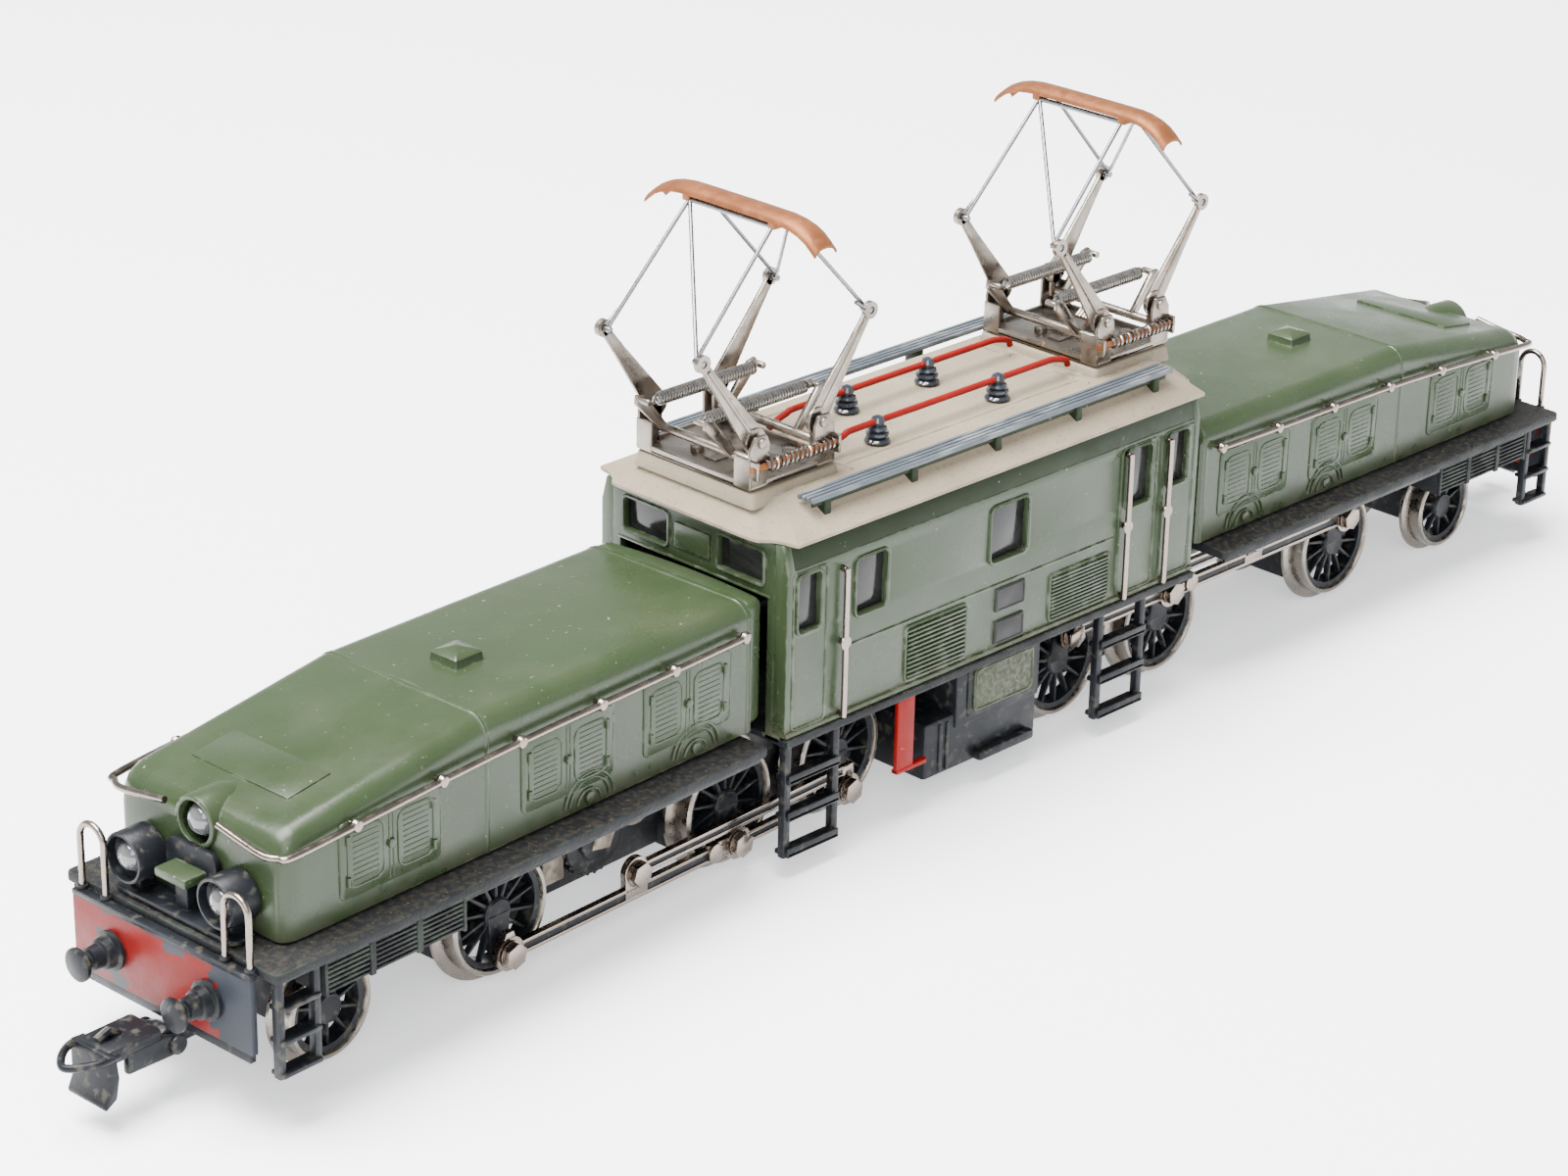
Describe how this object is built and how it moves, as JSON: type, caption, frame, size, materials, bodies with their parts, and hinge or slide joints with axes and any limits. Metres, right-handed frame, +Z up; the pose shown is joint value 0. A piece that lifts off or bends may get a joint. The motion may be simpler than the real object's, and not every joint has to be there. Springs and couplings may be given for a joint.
{
  "type": "model electric locomotive",
  "caption": "Articulated H0 model electric locomotive: cab with two folding pantographs between two swivelling hooded trucks with coupled driving wheels.",
  "frame": {"origin": "middle of the footprint, at the bottom of the wheel flanges", "axes": "+X along the locomotive away from the yawed front truck, +Y across it, +Z up"},
  "size_m": [0.2878, 0.0416, 0.0863],
  "materials": {
    "green_paint": "glossy",
    "roof_paint": "satin",
    "black_paint": "satin",
    "nickel": "satin",
    "steel": "satin",
    "copper": "satin",
    "red_paint": "glossy"
  },
  "bodies": {
    "cab": {"cab_shell": "green_paint", "cab_floor": "black_paint", "cab_roof": "roof_paint", "equipment_box": "black_paint", "roof_line_left": "red_paint", "roof_line_right": "red_paint", "front_pantograph_base": "nickel", "rear_pantograph_base": "nickel"},
    "changeover_lever": {"changeover_lever": "red_paint"},
    "front_truck": {"front_truck_frame": "black_paint", "front_hood": "green_paint", "front_handrail_left": "nickel", "front_handrail_right": "nickel", "front_buffer_beam": "red_paint", "front_buffer_left": "black_paint", "front_buffer_right": "black_paint", "front_lamp_bracket": "black_paint", "front_upper_lamp": "steel", "front_motor": "steel"},
    "front_driving_wheelset_1": {"front_driving_wheelset_1": "nickel"},
    "front_driving_wheelset_2": {"front_driving_wheelset_2": "nickel"},
    "front_driving_wheelset_3": {"front_driving_wheelset_3": "nickel"},
    "front_side_rod_left": {"front_side_rod_left": "nickel"},
    "front_side_rod_right": {"front_side_rod_right": "nickel"},
    "front_pony_frame": {"front_pony_frame": "black_paint"},
    "front_pony_wheelset": {"front_pony_wheelset": "nickel"},
    "front_coupler_arm": {"front_coupler_arm": "black_paint"},
    "front_coupler_claw": {"front_coupler_claw": "black_paint"},
    "front_pantograph_lower_frame_front": {"front_pantograph_lower_frame_front": "nickel"},
    "front_pantograph_lower_frame_rear": {"front_pantograph_lower_frame_rear": "nickel"},
    "front_pantograph_upper_frame_front": {"front_pantograph_upper_frame_front": "steel"},
    "front_pantograph_upper_frame_rear": {"front_pantograph_upper_frame_rear": "steel"},
    "front_pantograph_shoe": {"front_pantograph_shoe": "copper"},
    "front_pantograph_springs": {"front_pantograph_spring_a": "steel", "front_pantograph_spring_b": "steel"},
    "rear_truck": {"rear_truck_frame": "black_paint", "rear_hood": "green_paint", "rear_handrail_left": "nickel", "rear_handrail_right": "nickel", "rear_buffer_beam": "red_paint", "rear_buffer_left": "black_paint", "rear_buffer_right": "black_paint", "rear_lamp_bracket": "black_paint", "rear_upper_lamp": "steel"},
    "rear_driving_wheelset_1": {"rear_driving_wheelset_1": "nickel"},
    "rear_driving_wheelset_2": {"rear_driving_wheelset_2": "nickel"},
    "rear_driving_wheelset_3": {"rear_driving_wheelset_3": "nickel"},
    "rear_side_rod_left": {"rear_side_rod_left": "nickel"},
    "rear_side_rod_right": {"rear_side_rod_right": "nickel"},
    "rear_pony_frame": {"rear_pony_frame": "black_paint"},
    "rear_pony_wheelset": {"rear_pony_wheelset": "nickel"},
    "rear_coupler_arm": {"rear_coupler_arm": "black_paint"},
    "rear_coupler_claw": {"rear_coupler_claw": "black_paint"},
    "rear_pantograph_lower_frame_front": {"rear_pantograph_lower_frame_front": "nickel"},
    "rear_pantograph_lower_frame_rear": {"rear_pantograph_lower_frame_rear": "nickel"},
    "rear_pantograph_upper_frame_front": {"rear_pantograph_upper_frame_front": "steel"},
    "rear_pantograph_upper_frame_rear": {"rear_pantograph_upper_frame_rear": "steel"},
    "rear_pantograph_shoe": {"rear_pantograph_shoe": "copper"},
    "rear_pantograph_springs": {"rear_pantograph_spring_a": "steel", "rear_pantograph_spring_b": "steel"}
  },
  "joints": [
    {"name": "changeover_lever_swing", "type": "hinge", "parent": "cab", "child": "changeover_lever", "pos_m": [-0.01687, -0.01359, 0.0182], "axis": [0, 1, 0], "range_deg": [-8, 8]},
    {"name": "front_truck_swivel", "type": "hinge", "parent": "cab", "child": "front_truck", "pos_m": [-0.03607, 0.00231, 0.02], "axis": [0, 0, 1], "range_deg": [-8.9, 3.1]},
    {"name": "front_axle_1_spin", "type": "hinge", "parent": "front_truck", "child": "front_driving_wheelset_1", "pos_m": [-0.08441, -0.00014, 0.0093], "axis": [-0.0506, 0.9987, 0], "continuous": true},
    {"name": "front_axle_2_spin", "type": "hinge", "parent": "front_truck", "child": "front_driving_wheelset_2", "pos_m": [-0.04356, 0.00193, 0.0093], "axis": [-0.0506, 0.9987, 0], "continuous": true},
    {"name": "front_axle_3_spin", "type": "hinge", "parent": "front_truck", "child": "front_driving_wheelset_3", "pos_m": [-0.02209, 0.00301, 0.0093], "axis": [-0.0506, 0.9987, 0], "continuous": true},
    {"name": "front_side_rod_left_turn", "type": "hinge", "parent": "front_driving_wheelset_1", "child": "front_side_rod_left", "pos_m": [-0.08386, -0.01093, 0.0046], "axis": [-0.0506, 0.9987, 0], "continuous": true},
    {"name": "front_side_rod_right_turn", "type": "hinge", "parent": "front_driving_wheelset_1", "child": "front_side_rod_right", "pos_m": [-0.08495, 0.01064, 0.014], "axis": [-0.0506, 0.9987, 0], "continuous": true},
    {"name": "front_pony_swivel", "type": "hinge", "parent": "front_truck", "child": "front_pony_frame", "pos_m": [-0.09599, -0.00073, 0.012], "axis": [0, 0, 1], "range_deg": [-6, 6]},
    {"name": "front_pony_axle_spin", "type": "hinge", "parent": "front_pony_frame", "child": "front_pony_wheelset", "pos_m": [-0.11197, -0.00154, 0.0075], "axis": [-0.0506, 0.9987, 0], "continuous": true},
    {"name": "front_coupler_swing", "type": "hinge", "parent": "front_truck", "child": "front_coupler_arm", "pos_m": [-0.12156, -0.00202, 0.008], "axis": [0, 0, 1], "range_deg": [-12, 12]},
    {"name": "front_coupler_lift", "type": "hinge", "parent": "front_coupler_arm", "child": "front_coupler_claw", "pos_m": [-0.12935, -0.00242, 0.0075], "axis": [-0.0506, 0.9987, 0], "range_deg": [0, 22]},
    {"name": "front_pantograph_fold", "type": "hinge", "parent": "cab", "child": "front_pantograph_lower_frame_front", "pos_m": [-0.03857, 0.00231, 0.0579], "axis": [0, -1, 0], "range_deg": [0, 33], "stiffness_Nm_per_rad": 0.004, "springref_deg": -28.65},
    {"name": "front_pantograph_rear_fold", "type": "hinge", "parent": "cab", "child": "front_pantograph_lower_frame_rear", "pos_m": [-0.02757, 0.00231, 0.0579], "axis": [0, -1, 0], "range_deg": [-34, 1]},
    {"name": "front_pantograph_front_elbow", "type": "hinge", "parent": "front_pantograph_lower_frame_front", "child": "front_pantograph_upper_frame_front", "pos_m": [-0.04782, 0.00231, 0.0703], "axis": [0, -1, 0], "range_deg": [-64, 1]},
    {"name": "front_pantograph_rear_elbow", "type": "hinge", "parent": "front_pantograph_lower_frame_rear", "child": "front_pantograph_upper_frame_rear", "pos_m": [-0.01832, 0.00231, 0.0703], "axis": [0, -1, 0], "range_deg": [-1, 64]},
    {"name": "front_pantograph_shoe_level", "type": "hinge", "parent": "front_pantograph_upper_frame_front", "child": "front_pantograph_shoe", "pos_m": [-0.03457, 0.00231, 0.0845], "axis": [0, -1, 0], "range_deg": [-1, 31]},
    {"name": "front_pantograph_spring_drop", "type": "slide", "parent": "cab", "child": "front_pantograph_springs", "axis": [0, 0, -1], "range_m": [-0.0001, 0.003]},
    {"name": "rear_truck_swivel", "type": "hinge", "parent": "cab", "child": "rear_truck", "pos_m": [0.03593, 0.00231, 0.02], "axis": [0, 0, 1], "range_deg": [-6, 6]},
    {"name": "rear_axle_1_spin", "type": "hinge", "parent": "rear_truck", "child": "rear_driving_wheelset_1", "pos_m": [0.08433, 0.00231, 0.0093], "axis": [0, -1, 0], "continuous": true},
    {"name": "rear_axle_2_spin", "type": "hinge", "parent": "rear_truck", "child": "rear_driving_wheelset_2", "pos_m": [0.04343, 0.00231, 0.0093], "axis": [0, -1, 0], "continuous": true},
    {"name": "rear_axle_3_spin", "type": "hinge", "parent": "rear_truck", "child": "rear_driving_wheelset_3", "pos_m": [0.02193, 0.00231, 0.0093], "axis": [0, -1, 0], "continuous": true},
    {"name": "rear_side_rod_left_turn", "type": "hinge", "parent": "rear_driving_wheelset_1", "child": "rear_side_rod_left", "pos_m": [0.08433, 0.01311, 0.0046], "axis": [0, -1, 0], "continuous": true},
    {"name": "rear_side_rod_right_turn", "type": "hinge", "parent": "rear_driving_wheelset_1", "child": "rear_side_rod_right", "pos_m": [0.08433, -0.0085, 0.014], "axis": [0, -1, 0], "continuous": true},
    {"name": "rear_pony_swivel", "type": "hinge", "parent": "rear_truck", "child": "rear_pony_frame", "pos_m": [0.09593, 0.00231, 0.012], "axis": [0, 0, 1], "range_deg": [-6, 6]},
    {"name": "rear_pony_axle_spin", "type": "hinge", "parent": "rear_pony_frame", "child": "rear_pony_wheelset", "pos_m": [0.11193, 0.00231, 0.0075], "axis": [0, -1, 0], "continuous": true},
    {"name": "rear_coupler_swing", "type": "hinge", "parent": "rear_truck", "child": "rear_coupler_arm", "pos_m": [0.12153, 0.00231, 0.008], "axis": [0, 0, 1], "range_deg": [-12, 12]},
    {"name": "rear_coupler_lift", "type": "hinge", "parent": "rear_coupler_arm", "child": "rear_coupler_claw", "pos_m": [0.12933, 0.00231, 0.0075], "axis": [0, -1, 0], "range_deg": [0, 22]},
    {"name": "rear_pantograph_fold", "type": "hinge", "parent": "cab", "child": "rear_pantograph_lower_frame_front", "pos_m": [0.02743, 0.00231, 0.0579], "axis": [0, -1, 0], "range_deg": [0, 33], "stiffness_Nm_per_rad": 0.004, "springref_deg": -28.65},
    {"name": "rear_pantograph_rear_fold", "type": "hinge", "parent": "cab", "child": "rear_pantograph_lower_frame_rear", "pos_m": [0.03843, 0.00231, 0.0579], "axis": [0, -1, 0], "range_deg": [-34, 1]},
    {"name": "rear_pantograph_front_elbow", "type": "hinge", "parent": "rear_pantograph_lower_frame_front", "child": "rear_pantograph_upper_frame_front", "pos_m": [0.01818, 0.00231, 0.0703], "axis": [0, -1, 0], "range_deg": [-64, 1]},
    {"name": "rear_pantograph_rear_elbow", "type": "hinge", "parent": "rear_pantograph_lower_frame_rear", "child": "rear_pantograph_upper_frame_rear", "pos_m": [0.04768, 0.00231, 0.0703], "axis": [0, -1, 0], "range_deg": [-1, 64]},
    {"name": "rear_pantograph_shoe_level", "type": "hinge", "parent": "rear_pantograph_upper_frame_front", "child": "rear_pantograph_shoe", "pos_m": [0.03143, 0.00231, 0.0845], "axis": [0, -1, 0], "range_deg": [-1, 31]},
    {"name": "rear_pantograph_spring_drop", "type": "slide", "parent": "cab", "child": "rear_pantograph_springs", "axis": [0, 0, -1], "range_m": [-0.0001, 0.003]}
  ],
  "couplings": [
    {"joint": "front_axle_2_spin", "follows": "front_axle_1_spin", "ratio": 1},
    {"joint": "front_axle_3_spin", "follows": "front_axle_1_spin", "ratio": 1},
    {"joint": "front_side_rod_left_turn", "follows": "front_axle_1_spin", "ratio": -1},
    {"joint": "front_side_rod_right_turn", "follows": "front_axle_1_spin", "ratio": -1},
    {"joint": "front_pantograph_rear_fold", "follows": "front_pantograph_fold", "ratio": -1},
    {"joint": "front_pantograph_front_elbow", "follows": "front_pantograph_fold", "ratio": -1.89},
    {"joint": "front_pantograph_rear_elbow", "follows": "front_pantograph_fold", "ratio": 1.89},
    {"joint": "front_pantograph_shoe_level", "follows": "front_pantograph_fold", "ratio": 0.89},
    {"joint": "front_pantograph_spring_drop", "follows": "front_pantograph_fold", "m_per_rad": 0.00497},
    {"joint": "rear_axle_2_spin", "follows": "rear_axle_1_spin", "ratio": 1},
    {"joint": "rear_axle_3_spin", "follows": "rear_axle_1_spin", "ratio": 1},
    {"joint": "rear_side_rod_left_turn", "follows": "rear_axle_1_spin", "ratio": -1},
    {"joint": "rear_side_rod_right_turn", "follows": "rear_axle_1_spin", "ratio": -1},
    {"joint": "rear_pantograph_rear_fold", "follows": "rear_pantograph_fold", "ratio": -1},
    {"joint": "rear_pantograph_front_elbow", "follows": "rear_pantograph_fold", "ratio": -1.89},
    {"joint": "rear_pantograph_rear_elbow", "follows": "rear_pantograph_fold", "ratio": 1.89},
    {"joint": "rear_pantograph_shoe_level", "follows": "rear_pantograph_fold", "ratio": 0.89},
    {"joint": "rear_pantograph_spring_drop", "follows": "rear_pantograph_fold", "m_per_rad": 0.00497}
  ]
}
